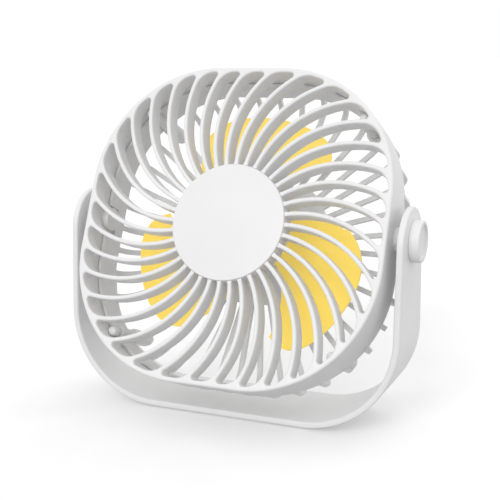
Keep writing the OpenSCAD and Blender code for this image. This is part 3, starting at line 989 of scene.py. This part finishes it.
def blade_outline():
    """Along the root inside the hub, out the leading edge, back over the tip and in the trailing edge."""
    root = HUB_R - BLADE_SUNK
    points = [blade_at(i / ROOT_STEPS, root) for i in range(ROOT_STEPS)]
    points += [blade_at(1, root + (blade_end(1) - root) * i / EDGE_STEPS) for i in range(EDGE_STEPS)]
    points += [blade_at(1 - i / TIP_STEPS, blade_end(1 - i / TIP_STEPS)) for i in range(TIP_STEPS)]
    points += [blade_at(0, blade_end(0) + (root - blade_end(0)) * i / EDGE_STEPS)
               for i in range(EDGE_STEPS)]
    return points


def blade_inner():
    """Points spread over the blade, so that its faces follow the camber."""
    points = []
    for i in range(1, INNER_ROWS):
        for j in range(1, INNER_COLUMNS):
            s = j / INNER_COLUMNS
            points.append(blade_at(s, HUB_R + (blade_end(s) - HUB_R) * (i / INNER_ROWS)))
    return points


def blade_shell(k):
    turn = k * 2 * math.pi / BLADE_COUNT

    def place(point):
        x, y, w = point
        z = blade_depth(x, y) + w
        return (x * math.cos(turn) + y * math.sin(turn), -x * math.sin(turn) + y * math.cos(turn), z)

    return plate(blade_outline(), BLADE_T / 2, BLADE_EDGE, place, blade_inner(), 4)


def hub_shell():
    """A cup open to the back, with a rounded front edge."""
    inner = HUB_R - HUB_WALL
    floor = HUB_BACK + HUB_DEPTH
    profile = [(AXIS_R, floor), (inner, floor), (inner, HUB_BACK), (HUB_R, HUB_BACK)]
    profile += [(HUB_R - d, HUB_FRONT - h) for d, h in reversed(list(quarter(HUB_ROUND)))]
    profile.append((AXIS_R, HUB_FRONT))
    return lathe(profile)


def impeller():
    rotor = make_object("impeller_blades", hub_shell(), in_head)
    blades = [make_object("blade", blade_shell(k), in_head) for k in range(BLADE_COUNT)]
    combine(rotor, blades)
    rotor.visible_diffuse = False
    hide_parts("impeller")
    return finish_piece(rotor, "rotor", "yellow_plastic")


# ---- Materials ----

# Scales of the patterns, per metre, and depths of their bumps, in metres
FLOW_SCALE = 35
GLOSS_SCALE = 160
GLOSS_SPREAD = 0.05
GRAIN_DEPTH = 0.00004
TINT_SCALE = 900
POLISH_SCALE = 2600
POLISH_SPREAD = 0.07
BRUSH_SCALE = 4000
BRUSH = 0.15
BRUSH_DEPTH = 0.00002


class Nodes:
    """Short calls for building a material's node tree."""

    def __init__(self, name):
        self.material = bpy.data.materials.new(name)
        self.material.use_nodes = True
        self.tree = self.material.node_tree
        self.shader = self.tree.nodes["Principled BSDF"]
        self.place = self.node("ShaderNodeTexCoord").outputs["Object"]

    def node(self, kind, **values):
        made = self.tree.nodes.new(kind)
        for key, value in values.items():
            setattr(made, key, value)
        return made

    def link(self, out, socket):
        self.tree.links.new(out, socket)

    def noise(self, scale, detail=3.0, roughness=0.5):
        made = self.node("ShaderNodeTexNoise")
        made.inputs["Scale"].default_value = scale
        made.inputs["Detail"].default_value = detail
        made.inputs["Roughness"].default_value = roughness
        self.link(self.place, made.inputs["Vector"])
        return made.outputs["Fac"]

    def ramp(self, factor, low, high, start=0.3, end=0.7):
        made = self.node("ShaderNodeValToRGB")
        made.color_ramp.elements[0].position = start
        made.color_ramp.elements[1].position = end
        made.color_ramp.elements[0].color = (*low, 1)
        made.color_ramp.elements[1].color = (*high, 1)
        self.link(factor, made.inputs["Fac"])
        return made.outputs["Color"]

    def bump(self, height, strength, distance):
        made = self.node("ShaderNodeBump")
        made.inputs["Strength"].default_value = strength
        made.inputs["Distance"].default_value = distance
        self.link(height, made.inputs["Height"])
        self.link(made.outputs["Normal"], self.shader.inputs["Normal"])

    def span(self, factor, low, high):
        made = self.node("ShaderNodeMapRange")
        made.inputs["To Min"].default_value = low
        made.inputs["To Max"].default_value = high
        self.link(factor, made.inputs["Value"])
        return made.outputs["Result"]

    def set(self, **values):
        for key, value in values.items():
            self.shader.inputs[key.replace("_", " ")].default_value = value


def moulded(name, low, high, rough, grain_scale, grain, **extra):
    """Moulded plastic: faint flow marks in its colour and gloss, and a fine spark texture."""
    m = Nodes(name)
    m.link(m.ramp(m.noise(FLOW_SCALE, 4), low, high), m.shader.inputs["Base Color"])
    gloss = m.span(m.noise(GLOSS_SCALE, 2), rough - GLOSS_SPREAD, rough + GLOSS_SPREAD)
    m.link(gloss, m.shader.inputs["Roughness"])
    m.bump(m.noise(grain_scale, 2, 0.6), grain, GRAIN_DEPTH)
    m.set(**extra)
    return m.material


def white_plastic():
    return moulded("white plastic", (0.83, 0.83, 0.83), (0.86, 0.86, 0.86), 0.42, 5200, 0.2,
                   Specular_IOR_Level=0.4)


# Yellow plastic with a painted glow: its emission makes the blades evenly bright, standing in for light that
# shines through them
def yellow_plastic():
    return moulded("yellow plastic", (0.96, 0.685, 0.09), (0.98, 0.715, 0.11), 0.32, 1800, 0.05,
                   Specular_IOR_Level=0.25, Emission_Color=(1.0, 0.75, 0.20, 1),
                   Emission_Strength=0.33)


def metal(name, low, high, rough):
    """Plated or bare metal: a slightly uneven tint and gloss, and fine tool marks."""
    m = Nodes(name)
    m.link(m.ramp(m.noise(TINT_SCALE, 3), low, high), m.shader.inputs["Base Color"])
    gloss = m.span(m.noise(POLISH_SCALE, 2), rough - POLISH_SPREAD, rough + POLISH_SPREAD)
    m.link(gloss, m.shader.inputs["Roughness"])
    m.bump(m.noise(BRUSH_SCALE, 2), BRUSH, BRUSH_DEPTH)
    m.set(Metallic=1.0)
    return m.material


MATERIALS = {
    "white_plastic": white_plastic(),
    "button_plastic": moulded("button plastic", (0.80, 0.80, 0.80), (0.85, 0.85, 0.85), 0.3, 4200, 0.15),
    "yellow_plastic": yellow_plastic(),
    "nylon": moulded("nylon", (0.72, 0.71, 0.67), (0.78, 0.77, 0.73), 0.45, 2600, 0.2),
    "grey_silicone": moulded("silicone", (0.22, 0.22, 0.23), (0.27, 0.27, 0.28), 0.75, 3000, 0.5),
    "black_rubber": moulded("rubber", (0.015, 0.015, 0.015), (0.03, 0.03, 0.03), 0.8, 3000, 0.5),
    "black_plastic": moulded("black plastic", (0.012, 0.012, 0.013), (0.025, 0.025, 0.026), 0.4, 3000, 0.3),
    "circuit_board": moulded("solder mask", (0.01, 0.09, 0.03), (0.02, 0.13, 0.05), 0.35, 900, 0.2),
    "ferrite": moulded("ferrite", (0.03, 0.03, 0.032), (0.05, 0.05, 0.052), 0.6, 2200, 0.4),
    "zinc_steel": metal("zinc plated steel", (0.55, 0.56, 0.58), (0.66, 0.67, 0.70), 0.32),
    "motor_steel": metal("nickel plated steel", (0.50, 0.50, 0.50), (0.60, 0.60, 0.61), 0.28),
    "brass": metal("brass", (0.72, 0.50, 0.20), (0.80, 0.58, 0.26), 0.3),
    "copper": metal("copper", (0.70, 0.30, 0.16), (0.80, 0.40, 0.22), 0.3),
}


def finish_piece(obj, body, slot):
    """Gives a piece the material of its slot and the body that it moves with."""
    obj.data.materials.clear()
    obj.data.materials.append(MATERIALS[slot])
    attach(obj, body)
    return obj


CAD_EDGE = 0.25
CAD_EDGE_ANGLE = 50


def finish_cad_nodes():
    """The CAD nodes that stay visible get their slot's material and soft edges."""
    slots = {part["node"]: part["material_slot"] for part in frame["record"]["subparts"]}
    for name, obj in frame["nodes"].items():
        obj.data.materials.clear()
        obj.data.materials.append(MATERIALS[slots[name]])
        if not obj.hide_render:
            soften(obj)


def soften(obj):
    """Rounds a CAD node's edges without touching its mesh."""
    weld = obj.modifiers.new("weld", "WELD")
    weld.merge_threshold = SAME_POINT
    bevel = obj.modifiers.new("soft edges", "BEVEL")
    bevel.width = CAD_EDGE * MM
    bevel.segments = 3
    bevel.limit_method = "ANGLE"
    bevel.angle_limit = math.radians(CAD_EDGE_ANGLE)
    even = obj.modifiers.new("even shading", "WEIGHTED_NORMAL")
    even.weight = 90
    even.keep_sharp = True


# ---- Stage ----

# The camera's direction from the front, its distance and aim in millimetres, and its lens
AZIMUTH = math.radians(22.819)
ELEVATION = math.radians(10.987)
DISTANCE = 480.9
AIM_RIGHT = 3.94
AIM_UP = 73.97
LENS = 72.1
SENSOR = 36.0


def add_camera():
    right = Vector((math.cos(AZIMUTH), math.sin(AZIMUTH), 0))
    back = Vector((math.sin(AZIMUTH) * math.cos(ELEVATION), -math.cos(AZIMUTH) * math.cos(ELEVATION),
                   math.sin(ELEVATION)))
    up = back.cross(right)
    data = bpy.data.cameras.new("camera")
    data.lens = LENS
    data.sensor_width = SENSOR
    camera = bpy.data.objects.new("camera", data)
    bpy.context.scene.collection.objects.link(camera)
    camera.location = (right * AIM_RIGHT + up * AIM_UP + back * DISTANCE) * MM
    camera.rotation_euler = back.to_track_quat("Z", "Y").to_euler()
    bpy.context.scene.camera = camera


def add_sun(name, azimuth, elevation, spread, power):
    """A broad soft light from a direction; the azimuth runs clockwise from the front."""
    data = bpy.data.lights.new(name, "SUN")
    data.angle = math.radians(spread)
    data.energy = power
    light = bpy.data.objects.new(name, data)
    bpy.context.scene.collection.objects.link(light)
    a, e = math.radians(azimuth), math.radians(elevation)
    towards = Vector((math.sin(a) * math.cos(e), -math.cos(a) * math.cos(e), math.sin(e)))
    light.rotation_euler = towards.to_track_quat("Z", "Y").to_euler()


# How bright the studio is overhead, at the horizon and from below
SKY = 0.80
HORIZON = 1.0
GROUND = 0.45
FLOOR_REACH = 60000.0


def add_world():
    """An even studio: soft from above, bright at the horizon and dim from below."""
    world = bpy.data.worlds.new("studio")
    world.use_nodes = True
    tree = world.node_tree
    direction = tree.nodes.new("ShaderNodeTexCoord").outputs["Generated"]
    split = tree.nodes.new("ShaderNodeSeparateXYZ")
    tree.links.new(direction, split.inputs["Vector"])
    height = tree.nodes.new("ShaderNodeMapRange")
    height.inputs["From Min"].default_value = -1
    tree.links.new(split.outputs["Z"], height.inputs["Value"])
    ramp = tree.nodes.new("ShaderNodeValToRGB")
    stops = [(0.44, GROUND), (0.49, HORIZON), (0.56, HORIZON), (0.68, SKY)]
    while len(ramp.color_ramp.elements) < len(stops):
        ramp.color_ramp.elements.new(0.5)
    for element, (position, level) in zip(ramp.color_ramp.elements, stops):
        element.position = position
        element.color = (level, level, level, 1)
    tree.links.new(height.outputs["Result"], ramp.inputs["Fac"])
    tree.links.new(ramp.outputs["Color"], tree.nodes["Background"].inputs["Color"])
    bpy.context.scene.world = world


def add_stage():
    floor = Shell()
    r = FLOOR_REACH
    floor.cap(floor.loop([(-r, -r, 0), (r, -r, 0), (r, r, 0), (-r, r, 0)]))
    plane = make_object("floor", floor)
    plane.data.materials.append(
        moulded("pale floor", (0.90, 0.90, 0.90), (0.93, 0.93, 0.93), 0.9, 40, 0.0,
                Emission_Color=(1, 1, 1, 1), Emission_Strength=0.13))
    plane.visible_diffuse = False
    add_world()
    bpy.context.scene.view_settings.view_transform = "Standard"
    add_sun("key", azimuth=-4, elevation=30, spread=30, power=0.9)
    add_sun("fill", azimuth=150, elevation=40, spread=60, power=0.35)


add_camera()
front_cover()
centre_disc()
stand_bracket()
pivot_cap(-1, "pivot_cap_left")
pivot_cap(1, "pivot_cap_right")
rear_cover()
pod_cover()
impeller()
finish_cad_nodes()
add_stage()
